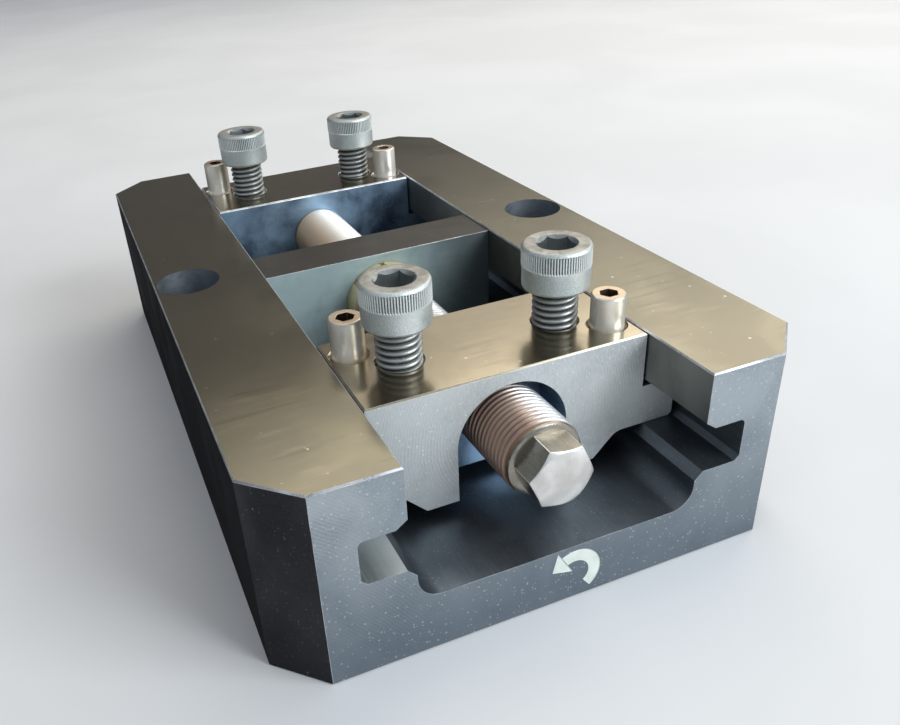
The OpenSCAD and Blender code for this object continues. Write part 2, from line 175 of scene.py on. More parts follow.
def apply_modifiers(piece):
    take(piece)
    for name in [modifier.name for modifier in piece.modifiers]:
        bpy.ops.object.modifier_apply(modifier=name)


def seat(piece, turn_axis="Z", turn=0.0, place=(0.0, 0.0, 0.0)):
    """Turn a piece about its own origin, carry it to its place, and leave the place in its mesh."""
    turned = Matrix.Rotation(math.radians(turn), 4, turn_axis)
    piece.matrix_world = Matrix.Translation(Vector(place) * MM) @ turned
    take(piece)
    bpy.ops.object.transform_apply(location=True, rotation=True, scale=True)


def smooth(piece, angle=35.0):
    """Shade round faces smooth, keep flat faces flat, and leave edges sharp past the angle."""
    take(piece)
    bpy.ops.object.shade_smooth_by_angle(angle=math.radians(angle))
    bpy.ops.object.modifier_add(type="WEIGHTED_NORMAL")
    piece.modifiers[-1].keep_sharp = True
    apply_modifiers(piece)


# Shaping

def trace(name, points):
    """A chain of edges through points in millimetres, drawn by extruding one vertex."""
    bpy.ops.object.select_all(action="DESELECT")
    bpy.ops.mesh.primitive_plane_add(size=MM)
    piece = bpy.context.object
    piece.name = name
    places = [Vector(point) * MM for point in points]
    open_mesh(piece)
    bpy.ops.mesh.merge(type="CENTER")
    bpy.ops.transform.translate(value=places[0])
    for here, there in zip(places, places[1:]):
        bpy.ops.mesh.extrude_vertices_move(TRANSFORM_OT_translate={"value": there - here})
    close_mesh()
    return piece


def close_seams(piece):
    """Merge what lies together and turn all faces outwards."""
    open_mesh(piece)
    bpy.ops.mesh.remove_doubles(threshold=SEAM)
    bpy.ops.mesh.normals_make_consistent(inside=False)
    close_mesh()


def lathe(name, points, axis, steps):
    """A turned solid: a traced half outline spun round an axis through the origin."""
    piece = trace(name, points)
    open_mesh(piece)
    bpy.ops.mesh.spin(steps=steps, angle=FULL_TURN, center=(0, 0, 0), axis=axis)
    close_mesh()
    close_seams(piece)
    return piece


def hex_bar(corner, length):
    """A six-sided bar along Z with its middle at the origin, corner being its largest radius."""
    bpy.ops.object.select_all(action="DESELECT")
    bpy.ops.mesh.primitive_cylinder_add(vertices=6, radius=corner * MM, depth=length * MM)
    return bpy.context.object


def carve(piece, tool, operation):
    """Cut a piece with a tool, keep only what they share, or add the two, and put the tool away."""
    take(piece)
    bpy.ops.object.modifier_add(type="BOOLEAN")
    modifier = piece.modifiers[-1]
    modifier.operation = operation
    modifier.solver = "EXACT"
    modifier.material_mode = "TRANSFER"
    modifier.object = tool
    apply_modifiers(piece)
    bpy.data.objects.remove(tool)


def helix(name, radius, depth, pitch, crest, start, end, steps):
    """A right-hand threaded rod along +Z with rounded crests and roots. It runs past start and end, where
    it is closed to a point, so a sheath has to trim it."""
    spare_turns = 2
    root = 0.08 * pitch
    inner = radius - depth
    rise = (pitch - crest - root) / 2
    crown = root / 2 + rise
    flank = [(0.0, 0.0), (0.22, 0.08), (0.5, 0.36), (0.8, 0.82), (1.0, 1.0)]
    outline = [(inner, 0, 0)]
    outline += [(radius - fall * depth, 0, crown - out * rise) for out, fall in reversed(flank)]
    outline += [(radius - fall * depth, 0, crown + crest + out * rise) for out, fall in flank]
    outline += [(inner, 0, pitch)]
    rod = trace(name, outline)
    bpy.ops.object.modifier_add(type="SCREW")
    screw = rod.modifiers[-1]
    screw.axis = "Z"
    screw.angle = FULL_TURN
    screw.screw_offset = pitch * MM
    screw.iterations = math.ceil((end - start) / pitch) + 2 * spare_turns
    screw.steps = steps
    screw.render_steps = steps
    screw.use_normal_calculate = True
    apply_modifiers(rod)
    seat(rod, place=(0, 0, start - spare_turns * pitch))
    close_seams(rod)
    open_mesh(rod, "EDGE")
    bpy.ops.mesh.select_all(action="DESELECT")
    bpy.ops.mesh.select_non_manifold()
    bpy.ops.mesh.extrude_edges_indiv()
    bpy.ops.mesh.merge(type="COLLAPSE")
    close_mesh()
    close_seams(rod)
    return rod


def eased_copy(node, name, finishes, ease, leave_sharp=None):
    """A copy of a CAD node with its sharp edges broken by a small rounded bevel, ease wide."""
    piece = twin(frame["nodes"][node], name)
    piece.parent = None
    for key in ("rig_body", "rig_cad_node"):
        del piece[key]
    take(piece)
    bpy.ops.mesh.customdata_custom_splitnormals_clear()
    lay_finishes(piece, finishes)
    open_mesh(piece)
    bpy.ops.mesh.remove_doubles(threshold=SEAM)
    bpy.ops.mesh.dissolve_limited(angle_limit=FLAT)
    bpy.ops.mesh.select_mode(type="EDGE")
    bpy.ops.mesh.select_all(action="DESELECT")
    bpy.ops.mesh.edges_select_sharp(sharpness=math.radians(38))
    close_mesh()
    if leave_sharp:
        mesh = piece.data
        sharp = [edge for edge in mesh.edges if edge.select]
        kept = {edge.index for edge in sharp if not leave_sharp(edge_middle(mesh, edge))}
        pick(piece, "EDGE", lambda edge: edge.index in kept)
    else:
        bpy.ops.object.mode_set(mode="EDIT")
    bpy.ops.mesh.bevel(
        offset=ease * MM, offset_type="OFFSET", segments=2, profile=0.5, material=EDGE_SLOT,
        clamp_overlap=True)
    close_mesh()
    return piece


def dress(piece, rule, worn=lambda place: True):
    """Give every face its finish. Broken edges that pass worn keep their bright edge finish, partly wear and
    partly painted highlight, and the rule picks the rest.
    """
    def slot_of(face):
        place = face.center / MM
        if face.material_index == EDGE_SLOT and worn(place):
            return EDGE_SLOT
        return rule(place, face.normal)

    paint(piece, slot_of)


def hang(piece, body, node):
    """The piece stands for a CAD node and moves with that node's body."""
    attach(piece, body)
    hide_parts(node)


# Shader node groups that several finishes share

def start_group(name, output, **inputs):
    """A node group with Vector and more inputs, each a number or a vector, and one output."""
    tree = bpy.data.node_groups.new(name, "ShaderNodeTree")
    for label, value in {"Vector": (0.0, 0.0, 0.0), **inputs}.items():
        kind = "NodeSocketFloat" if isinstance(value, float) else "NodeSocketVector"
        socket = tree.interface.new_socket(label, in_out="INPUT", socket_type=kind)
        socket.default_value = value
    tree.interface.new_socket(output, in_out="OUTPUT", socket_type="NodeSocketFloat")
    return tree, tree.nodes.new("NodeGroupInput"), tree.nodes.new("NodeGroupOutput")


def feed(tree, value, socket):
    """Link a socket, or set a plain value."""
    if value is None:
        return
    if isinstance(value, bpy.types.NodeSocket):
        tree.links.new(value, socket)
    else:
        socket.default_value = value


def vector_math(tree, operation, first, second=None):
    node = tree.nodes.new("ShaderNodeVectorMath")
    node.operation = operation
    feed(tree, first, node.inputs[0])
    feed(tree, second, node.inputs[1])
    return node.outputs["Value" if operation == "LENGTH" else "Vector"]


def maths(tree, operation, first, second=None):
    node = tree.nodes.new("ShaderNodeMath")
    node.operation = operation
    feed(tree, first, node.inputs[0])
    feed(tree, second, node.inputs[1])
    return node.outputs["Value"]


def spread(tree, value, low, high, new_low=0.0, new_high=1.0):
    """Stretch a value from one range to another and stop at the ends."""
    node = tree.nodes.new("ShaderNodeMapRange")
    node.interpolation_type = "SMOOTHSTEP"
    feed(tree, value, node.inputs["Value"])
    feed(tree, low, node.inputs["From Min"])
    feed(tree, high, node.inputs["From Max"])
    feed(tree, new_low, node.inputs["To Min"])
    feed(tree, new_high, node.inputs["To Max"])
    return node.outputs["Result"]


def noise(tree, vector, scale, detail, distortion=0.0):
    node = tree.nodes.new("ShaderNodeTexNoise")
    node.inputs["Detail"].default_value = detail
    node.inputs["Distortion"].default_value = distortion
    feed(tree, vector, node.inputs["Vector"])
    feed(tree, scale, node.inputs["Scale"])
    return node.outputs["Fac"]


def build_grinding():
    """Fine parallel lines, drawn out along the direction where Stretch is small."""
    tree, source, sink = start_group("grinding lines", "Lines", Stretch=(60.0, 4000.0, 4000.0))
    drawn = vector_math(tree, "MULTIPLY", source.outputs["Vector"], source.outputs["Stretch"])
    lines = spread(tree, noise(tree, drawn, 1.0, 4.0), 0.32, 0.68)
    tree.links.new(lines, sink.inputs["Lines"])
    return tree


def build_mottle():
    """Cloudy patches, as of an oil film or an uneven oxide."""
    tree, source, sink = start_group("film mottling", "Cloud", Scale=60.0)
    cloud = noise(tree, source.outputs["Vector"], source.outputs["Scale"], 5.0, 0.5)
    tree.links.new(spread(tree, cloud, 0.34, 0.68), sink.inputs["Cloud"])
    return tree


def build_dust():
    """Scattered small specks of uneven size and shape."""
    tree, source, sink = start_group("dust specks", "Dust", Scale=700.0, Size=0.2)
    cells = tree.nodes.new("ShaderNodeTexVoronoi")
    tree.links.new(source.outputs["Vector"], cells.inputs["Vector"])
    tree.links.new(source.outputs["Scale"], cells.inputs["Scale"])
    parts = tree.nodes.new("ShaderNodeSeparateColor")
    tree.links.new(cells.outputs["Color"], parts.inputs["Color"])
    rare = maths(tree, "POWER", parts.outputs["Red"], 4.0)
    reach = maths(tree, "MULTIPLY", rare, source.outputs["Size"])
    inner = maths(tree, "MULTIPLY", reach, 0.4)
    ragged = maths(tree, "MULTIPLY", noise(tree, source.outputs["Vector"], 5000.0, 1.0), 0.12)
    edge = maths(tree, "ADD", cells.outputs["Distance"], maths(tree, "SUBTRACT", ragged, 0.06))
    speck = spread(tree, edge, inner, reach, 1.0, 0.0)
    tree.links.new(speck, sink.inputs["Dust"])
    return tree


def build_scratches():
    """Thin scattered hairlines along the direction where Stretch is small."""
    tree, source, sink = start_group(
        "hairline scratches", "Scratches", Stretch=(20.0, 300.0, 300.0), Width=0.03)
    bent = vector_math(tree, "MULTIPLY", source.outputs["Vector"], source.outputs["Stretch"])
    cells = tree.nodes.new("ShaderNodeTexVoronoi")
    cells.feature = "DISTANCE_TO_EDGE"
    tree.links.new(bent, cells.inputs["Vector"])
    cells.inputs["Scale"].default_value = 1.0
    line = spread(tree, cells.outputs["Distance"], 0.0, source.outputs["Width"], 1.0, 0.0)
    gaps = spread(tree, noise(tree, source.outputs["Vector"], 130.0, 2.0), 0.52, 0.64)
    tree.links.new(maths(tree, "MULTIPLY", line, gaps), sink.inputs["Scratches"])
    return tree


def build_smears():
    """Patchy smears, as of a wiped hand mark, drawn out along the direction where Stretch is small."""
    tree, source, sink = start_group("wiped smears", "Smears", Stretch=(30.0, 400.0, 400.0))
    drawn = vector_math(tree, "MULTIPLY", source.outputs["Vector"], source.outputs["Stretch"])
    streak = spread(tree, noise(tree, drawn, 1.0, 4.0), 0.52, 0.76)
    patch = spread(tree, noise(tree, source.outputs["Vector"], 38.0, 2.0), 0.48, 0.62)
    tree.links.new(maths(tree, "MULTIPLY", streak, patch), sink.inputs["Smears"])
    return tree


def build_cutter_arcs():
    """Arcs left by a milling cutter on an upright face, at Pitch apart round Centre, fading past Reach."""
    tree, source, sink = start_group(
        "cutter arcs", "Arcs", Centre=(0.0, 0.0, 0.0), Pitch=0.001, Reach=0.1)
    away = vector_math(tree, "SUBTRACT", source.outputs["Vector"], source.outputs["Centre"])
    flat = vector_math(tree, "MULTIPLY", away, (1.0, 0.0, 1.0))
    distance = vector_math(tree, "LENGTH", flat)
    turns = maths(tree, "DIVIDE", distance, source.outputs["Pitch"])
    uneven = maths(tree, "MULTIPLY", noise(tree, source.outputs["Vector"], 90.0, 2.0), 2.0)
    wave = maths(tree, "SINE", maths(tree, "MULTIPLY", maths(tree, "ADD", turns, uneven), FULL_TURN))
    patch = spread(tree, noise(tree, source.outputs["Vector"], 45.0, 1.0), 0.40, 0.62)
    share = maths(tree, "DIVIDE", distance, source.outputs["Reach"])
    fade = maths(tree, "MULTIPLY", patch, spread(tree, share, 0.85, 1.15, 1.0, 0.0))
    tree.links.new(maths(tree, "MULTIPLY", spread(tree, wave, -1.0, 1.0), fade), sink.inputs["Arcs"])
    return tree


GRINDING = build_grinding()
MOTTLE = build_mottle()
DUST = build_dust()
SCRATCHES = build_scratches()
SMEARS = build_smears()
CUTTER_ARCS = build_cutter_arcs()


# Finishes

def start_finish(name, metallic, grazing=(1.0, 1.0, 1.0)):
    """A material with a plain metallic share and the tint of its reflection at grazing angles."""
    material = bpy.data.materials.new(name)
    material.use_nodes = True
    tree = material.node_tree
    shader = tree.nodes["Principled BSDF"]
    shader.inputs["Metallic"].default_value = metallic
    shader.inputs["Specular Tint"].default_value = (*grazing, 1.0)
    coords = tree.nodes.new("ShaderNodeTexCoord").outputs["Object"]
    return material, tree, shader, coords


def place_group(tree, group, coords, **values):
    """Place a shared group in a finish with its own values, and give back its output."""
    node = tree.nodes.new("ShaderNodeGroup")
    node.node_tree = group
    tree.links.new(coords, node.inputs["Vector"])
    for label, value in values.items():
        node.inputs[label].default_value = value
    return node.outputs[0]


def tint(tree, factor, first, second):
    """Mix two colours by a mask."""
    node = tree.nodes.new("ShaderNodeMix")
    node.data_type = "RGBA"
    feed(tree, factor, node.inputs[0])
    for socket, colour in ((node.inputs[6], first), (node.inputs[7], second)):
        feed(tree, colour if isinstance(colour, bpy.types.NodeSocket) else (*colour, 1.0), socket)
    return node.outputs[2]


def shade_along(tree, coords, colour, axis, clear, full, tone, share):
    """Blend a tone in along one axis, from none of it at clear to a share of it at full, in millimetres."""
    parts = tree.nodes.new("ShaderNodeSeparateXYZ")
    tree.links.new(coords, parts.inputs["Vector"])
    mask = spread(tree, parts.outputs[axis], clear * MM, full * MM, 0.0, share)
    return tint(tree, mask, colour, tone)


def roughen(tree, shader, height, strength, depth):
    """Raise a fine relief, at most depth millimetres high."""
    bump = tree.nodes.new("ShaderNodeBump")
    bump.inputs["Strength"].default_value = strength
    bump.inputs["Distance"].default_value = depth * MM
    tree.links.new(height, bump.inputs["Height"])
    tree.links.new(bump.outputs["Normal"], shader.inputs["Normal"])


def steel_finish(name, base, deep, worn, rough, stretch, mottle=60.0, line_share=0.35, painted_sparkle=0.0,
                 dust=0.0, scratch=0.0, smear=0.0, shade=None, arcs=None, metallic=1.0, bump=0.12,
                 grazing=(1.0, 1.0, 1.0)):
    """Steel with grinding lines, a cloudy film, hairlines, smears, painted glints and specks of dust.
    Shade is painted shade, a tone blended in along one axis, as shade_along takes it."""
    material, tree, shader, coords = start_finish(name, metallic, grazing)
    cloud = place_group(tree, MOTTLE, coords, Scale=mottle)
    lines = place_group(tree, GRINDING, coords, Stretch=stretch)
    colour = tint(tree, cloud, deep, base)
    colour = tint(tree, maths(tree, "MULTIPLY", lines, line_share), colour, worn)
    height = lines
    if arcs:
        centre, pitch, share, reach = arcs
        marks = place_group(tree, CUTTER_ARCS, coords, Centre=centre, Pitch=pitch, Reach=reach)
        colour = tint(tree, maths(tree, "MULTIPLY", marks, share), colour, worn)
        height = maths(tree, "ADD", lines, marks)
    if scratch:
        hair = place_group(tree, SCRATCHES, coords, Stretch=(14.0, 300.0, 300.0), Width=0.05)
        colour = tint(tree, maths(tree, "MULTIPLY", hair, scratch), colour, deep)
    if smear:
        dark = place_group(tree, SMEARS, coords, Stretch=(26.0, 380.0, 380.0))
        colour = tint(tree, maths(tree, "MULTIPLY", dark, smear), colour, [0.5 * part for part in deep])
        pale = place_group(tree, SMEARS, coords, Stretch=(60.0, 330.0, 330.0))
        colour = tint(tree, maths(tree, "MULTIPLY", pale, 0.6 * smear), colour, [1.4 * part for part in worn])
        chips = place_group(tree, DUST, coords, Scale=260.0, Size=0.17)
        colour = tint(tree, maths(tree, "MULTIPLY", chips, 0.5), colour, (0.80, 0.80, 0.78))
    if shade:
        colour = shade_along(tree, coords, colour, *shade)
    # Pale specks painted into the colour as glints: painted highlight.
    if painted_sparkle:
        painted_glints = place_group(tree, DUST, coords, Scale=1300.0, Size=0.55)
        colour = tint(tree, maths(tree, "MULTIPLY", painted_glints, painted_sparkle), colour, (0.80, 0.81, 0.80))
    if dust:
        specks = place_group(tree, DUST, coords, Scale=600.0, Size=0.17)
        colour = tint(tree, maths(tree, "MULTIPLY", specks, dust), colour, (0.62, 0.63, 0.64))
    tree.links.new(colour, shader.inputs["Base Color"])
    gloss = maths(tree, "MULTIPLY", lines, 0.3 * line_share)
    film = spread(tree, cloud, 0.0, 1.0, rough[1], rough[0])
    tree.links.new(maths(tree, "ADD", film, gloss), shader.inputs["Roughness"])
    roughen(tree, shader, height, bump, 0.02)
    return material


ACROSS = (60.0, 3600.0, 3600.0)
ALONG = (3600.0, 60.0, 3600.0)
EVEN = (2600.0, 2600.0, 2600.0)

ground_rail = steel_finish(
    "ground rail top", (0.30, 0.278, 0.208), (0.23, 0.213, 0.165), (0.38, 0.35, 0.27),
    (0.19, 0.25), ACROSS, mottle=26.0, line_share=0.07, dust=0.5, scratch=0.5, smear=0.35, bump=0.02)
# Its shade is painted shade: the face darkens and turns bluer toward the bottom.
milled_end = steel_finish(
    "milled end face", (0.395, 0.44, 0.475), (0.28, 0.32, 0.35), (0.53, 0.57, 0.595),
    (0.46, 0.56), EVEN, mottle=40.0, line_share=0.40, painted_sparkle=0.4, dust=0.5,
    shade=("Z", BODY_TOP, 0.0, (0.11, 0.145, 0.18), 0.68), arcs=((-0.150, 0.0, -0.060), 0.0009, 0.3, 0.155))
oxide_side = steel_finish(
    "black oxide side", (0.058, 0.058, 0.062), (0.036, 0.036, 0.039), (0.100, 0.100, 0.104),
    (0.46, 0.58), ALONG, mottle=32.0, line_share=0.25, painted_sparkle=0.05, dust=0.35,
    grazing=(0.12, 0.12, 0.13))
oxide_channel = steel_finish(
    "black oxide channel", (0.20, 0.23, 0.26), (0.12, 0.14, 0.16), (0.28, 0.31, 0.335),
    (0.34, 0.46), ALONG, mottle=40.0, line_share=0.20, painted_sparkle=0.12, dust=0.8)
bored_wall = steel_finish(
    "bored counterbore wall", (0.34, 0.38, 0.42), (0.22, 0.25, 0.285), (0.44, 0.47, 0.50),
    (0.42, 0.52), (400.0, 400.0, 3600.0), mottle=90.0, line_share=0.30)
rail_wall = steel_finish(
    "milled rail wall", (0.27, 0.27, 0.25), (0.18, 0.18, 0.17), (0.36, 0.36, 0.335),
    (0.34, 0.46), ALONG, mottle=40.0, line_share=0.15, dust=0.5)
slide_ledge = steel_finish(
    "ground slide ledge", (0.52, 0.55, 0.55), (0.36, 0.385, 0.385), (0.62, 0.65, 0.65),
    (0.36, 0.46), ALONG, mottle=50.0, line_share=0.25, dust=0.6)
# The broken edges are painted bright, partly as wear and partly as painted highlight.
bright_edge = steel_finish(
    "bright broken edge", (0.64, 0.65, 0.68), (0.26, 0.27, 0.29), (0.76, 0.77, 0.79),
    (0.34, 0.46), EVEN, mottle=150.0, metallic=0.8)
rubbed_edge_and_highlight = steel_finish(
    "rubbed edge and painted highlight", (0.90, 0.92, 0.94), (0.40, 0.42, 0.44), (0.94, 0.95, 0.96),
    (0.34, 0.46), EVEN, mottle=170.0, metallic=0.6)
etched_mark = steel_finish(
    "pale etched mark", (0.72, 0.76, 0.70), (0.58, 0.62, 0.57), (0.80, 0.83, 0.78),
    (0.60, 0.72), EVEN, mottle=160.0, metallic=0.0)
ground_carrier = steel_finish(
    "ground carrier top", (0.43, 0.375, 0.28), (0.34, 0.30, 0.225), (0.53, 0.475, 0.37),
    (0.15, 0.21), ACROSS, mottle=60.0, line_share=0.07, painted_sparkle=0.03, dust=0.5, scratch=0.4, smear=0.3,
    bump=0.02)
# Its shade is painted shade: the face darkens toward its left side.
carrier_face = steel_finish(
    "satin carrier face", (0.60, 0.63, 0.63), (0.47, 0.50, 0.505), (0.76, 0.78, 0.77),
    (0.50, 0.60), (2600.0, 2600.0, 700.0), mottle=50.0, line_share=0.40, painted_sparkle=0.7, dust=0.7,
    metallic=0.5, shade=("X", -8.0, -48.0, (0.26, 0.29, 0.30), 0.45),
    arcs=((0.0, 0.0, AXIS_UP * MM), 0.0009, 0.4, 0.046))
carrier_dark = steel_finish(
    "blued carrier inside", (0.38, 0.55, 0.74), (0.02, 0.04, 0.08), (0.46, 0.63, 0.79),
    (0.36, 0.46), EVEN, mottle=38.0, line_share=0.12, painted_sparkle=0.15, dust=0.6, metallic=0.7)
# Its shade is a painted shadow of the right rail: the face darkens toward +X.
blued_block = steel_finish(
    "blued block face", (0.46, 0.585, 0.595), (0.30, 0.40, 0.41), (0.58, 0.69, 0.70),
    (0.54, 0.64), ACROSS, mottle=55.0, line_share=0.20, dust=0.7, metallic=0.5,
    shade=("X", -8.0, 38.0, (0.045, 0.055, 0.06), 0.85))
blued_top = steel_finish(
    "browned block top", (0.090, 0.085, 0.078), (0.060, 0.057, 0.052), (0.14, 0.135, 0.125),
    (0.34, 0.44), ACROSS, mottle=38.0, line_share=0.15, dust=0.6)
bearing_bronze = steel_finish(
    "bearing bronze", (0.62, 0.51, 0.31), (0.46, 0.36, 0.20), (0.72, 0.62, 0.43),
    (0.25, 0.36), EVEN, mottle=120.0)
lock_brass = steel_finish(
    "nut brass", (0.88, 0.76, 0.45), (0.66, 0.53, 0.27), (0.92, 0.84, 0.60),
    (0.30, 0.40), EVEN, mottle=120.0, scratch=0.2, metallic=0.7)
# The nut's rim is painted bright, partly as wear and partly as painted highlight.
brass_edge = steel_finish(
    "rubbed brass edge and painted highlight", (0.95, 0.89, 0.68), (0.86, 0.77, 0.52), (0.96, 0.92, 0.78),
    (0.30, 0.40), EVEN, mottle=200.0, metallic=0.6)
pin_steel = steel_finish(
    "polished pin", (0.96, 0.95, 0.90), (0.80, 0.72, 0.60), (0.97, 0.96, 0.93),
    (0.28, 0.38), (900.0, 900.0, 200.0), mottle=95.0, dust=0.4, metallic=0.7, grazing=(0.22, 0.20, 0.17))
pin_edge = steel_finish(
    "pale pin chamfer", (0.82, 0.80, 0.75), (0.66, 0.60, 0.51), (0.88, 0.86, 0.82),
    (0.28, 0.40), EVEN, mottle=300.0)
pin_rim = steel_finish(
    "browned pin top", (0.62, 0.51, 0.38), (0.40, 0.28, 0.20), (0.70, 0.61, 0.48),
    (0.28, 0.40), EVEN, mottle=75.0, line_share=0.25)
pin_socket = steel_finish(
    "browned pin socket", (0.26, 0.16, 0.11), (0.12, 0.07, 0.05), (0.36, 0.25, 0.19),
    (0.34, 0.46), EVEN, mottle=300.0)
hidden_oxide = steel_finish(
    "fastener oxide", (0.085, 0.088, 0.092), (0.055, 0.056, 0.060), (0.15, 0.15, 0.155),
    (0.36, 0.46), EVEN, mottle=160.0)
drive_steel = steel_finish(
    "browned drive flat", (0.34, 0.315, 0.27), (0.22, 0.20, 0.165), (0.46, 0.435, 0.39),
    (0.20, 0.32), ALONG, mottle=110.0, line_share=0.20, scratch=0.4, bump=0.04)
drive_face = steel_finish(
    "rubbed drive face", (0.80, 0.79, 0.77), (0.62, 0.605, 0.575), (0.88, 0.87, 0.855),
    (0.26, 0.38), EVEN, mottle=140.0, line_share=0.20, scratch=0.5, bump=0.06)
# The hex's edges are painted bright, partly as wear and partly as painted highlight.
drive_edge = steel_finish(
    "rubbed drive edge and painted highlight", (0.90, 0.89, 0.86), (0.74, 0.72, 0.68), (0.93, 0.92, 0.90),
    (0.26, 0.36), EVEN, mottle=220.0, metallic=0.8)


def hollow_finish(name, ridge, face, hollow, film, rough, grain, painted_glint, metallic=1.0, shade=None,
                  grazing=(1.0, 1.0, 1.0)):
    """Rubbed ridges over a darker face and dirty hollows, told apart by the piece's own hollow attribute.
    Shade is a tone blended in along one axis, as shade_along takes it: partly a brown stain, partly painted
    shade on the side turned from the light."""
    material, tree, shader, coords = start_finish(name, metallic, grazing)
    depth = tree.nodes.new("ShaderNodeAttribute")
    depth.attribute_name = "hollow"
    level = depth.outputs["Fac"]
    cloud = place_group(tree, MOTTLE, coords, Scale=film)
    lines = place_group(tree, GRINDING, coords, Stretch=EVEN)
    painted_glints = place_group(tree, DUST, coords, Scale=1300.0, Size=0.5)
    skin = tint(tree, maths(tree, "MULTIPLY", cloud, 0.5), face, ridge)
    skin = tint(tree, spread(tree, level, 0.0, 0.30, 0.75, 0.0), skin, ridge)
    skin = tint(tree, spread(tree, level, 0.25, 0.85), skin, hollow)
    skin = tint(tree, maths(tree, "MULTIPLY", lines, grain), skin, ridge)
    # Pale specks painted into the colour as glints: painted highlight.
    skin = tint(tree, maths(tree, "MULTIPLY", painted_glints, painted_glint), skin, (0.72, 0.72, 0.70))
    if shade:
        skin = shade_along(tree, coords, skin, *shade)
    tree.links.new(skin, shader.inputs["Base Color"])
    dull = spread(tree, level, 0.0, 1.0, rough[0], rough[1])
    matt = maths(tree, "MULTIPLY", lines, 0.08)
    tree.links.new(maths(tree, "ADD", dull, matt), shader.inputs["Roughness"])
    roughen(tree, shader, lines, 2.0 * grain, 0.06)
    return material


# Its shade browns and darkens the -X side: partly a stain, partly painted shade.
lead_thread = hollow_finish(
    "browned lead thread with painted shade", (0.88, 0.91, 0.94), (0.69, 0.685, 0.69), (0.36, 0.31, 0.29),
    120.0, (0.30, 0.42), 0.04, 0.1, 0.8, shade=("X", 6.0, -5.0, (0.30, 0.155, 0.08), 0.80),
    grazing=(0.57, 0.57, 0.58))
# The rear half of the screw is painted paler than the front half as painted light, and its hollows are kept
# pale; its shade toward -X is partly a stain, partly painted shade.
pale_painted_rear_thread = hollow_finish(
    "pale rear lead thread, painted light", (0.95, 0.96, 0.95), (0.91, 0.915, 0.89), (0.72, 0.69, 0.63),
    120.0, (0.34, 0.44), 0.02, 0.05, 0.7, shade=("X", 2.5, -8.5, (0.60, 0.38, 0.18), 0.75))
cap_screw_oxide = hollow_finish(
    "worn cap screw oxide", (0.90, 0.94, 0.93), (0.47, 0.525, 0.52), (0.04, 0.044, 0.044),
    75.0, (0.40, 0.50), 0.35, 0.6, 0.85, grazing=(0.20, 0.21, 0.21))
cap_screw_rim = steel_finish(
    "browned cap screw rim", (0.41, 0.41, 0.385), (0.24, 0.225, 0.195), (0.58, 0.58, 0.55),
    (0.36, 0.46), EVEN, mottle=260.0, painted_sparkle=0.4, metallic=0.8)
cap_screw_socket = steel_finish(
    "oxide cap screw socket", (0.34, 0.37, 0.38), (0.22, 0.24, 0.245), (0.46, 0.49, 0.50),
    (0.28, 0.40), EVEN, mottle=220.0, line_share=0.20, metallic=0.85)
shank_thread = hollow_finish(
    "oiled shank thread", (0.50, 0.52, 0.515), (0.33, 0.35, 0.345), (0.09, 0.095, 0.093),
    190.0, (0.32, 0.46), 0.20, 0.3, 0.75, grazing=(0.25, 0.25, 0.25))


def mark_hollows(piece, depth_at):
    """Write how deep each vertex lies below the ridges, from 0 to 1, into the hollow attribute."""
    mesh = piece.data
    hollow = mesh.attributes.new("hollow", "FLOAT", "POINT")
    for vertex in mesh.vertices:
        hollow.data[vertex.index].value = min(1.0, max(0.0, depth_at(vertex.co / MM)))


# Base, carriers and centre block

def base_rule(place, normal):
    """Slots of the base's faces. Of the two slide ledges, the right one takes the dark channel finish as
    painted shade, and only the left one gets the bright ledge finish.
    """
    side, edge, rail_top, end, channel, ledge, bore, rail_side = range(8)
    x, y, z = place
    if 0.4 < normal.z < 0.9 and z > BODY_TOP - 1.0:
        return edge
    if normal.z > 0.9 and z > BODY_TOP - 0.2:
        return rail_top
    if abs(normal.y) > 0.9 and abs(y) > BODY_HALF_Y - 0.3:
        return end
    if normal.z > 0.9 and abs(z - LEDGE_UP) < 0.3 and abs(x) > SLOT_HALF:
        # Painted shade: the right ledge takes the dark channel finish.
        return ledge if x < 0 else channel
    if math.hypot(abs(x) - BOLT_X, y) < COUNTERBORE_R + 0.4 and z < BODY_TOP - 0.2:
        return bore
    if abs(normal.x) > 0.9 and abs(abs(x) - SLOT_HALF) < 0.5:
        return rail_side
    on_chamfer = abs(x) + abs(y) > BODY_HALF_X + BODY_HALF_Y - CORNER_CHAMFER - 0.8
    outside = abs(x) > BODY_HALF_X - 0.9 or z < 0.9 or on_chamfer
    return side if outside else channel


def base_bright_edges(place):
    """The edges that are painted bright, partly as wear and partly as painted highlight: round the tops of
    the rails and the outline of the end faces.
    """
    return place.z > BODY_TOP - 0.8 or abs(place.y) > BODY_HALF_Y - 0.4


def counterbore_land(middle):
    """The thin land between a counterbore and the side bevel has no room for a wider edge."""
    near_y = abs(middle.y) < COUNTERBORE_R + 1.2
    near_x = abs(middle.x) > BOLT_X - COUNTERBORE_R - 0.6
    return near_y and near_x and middle.z > 40.0


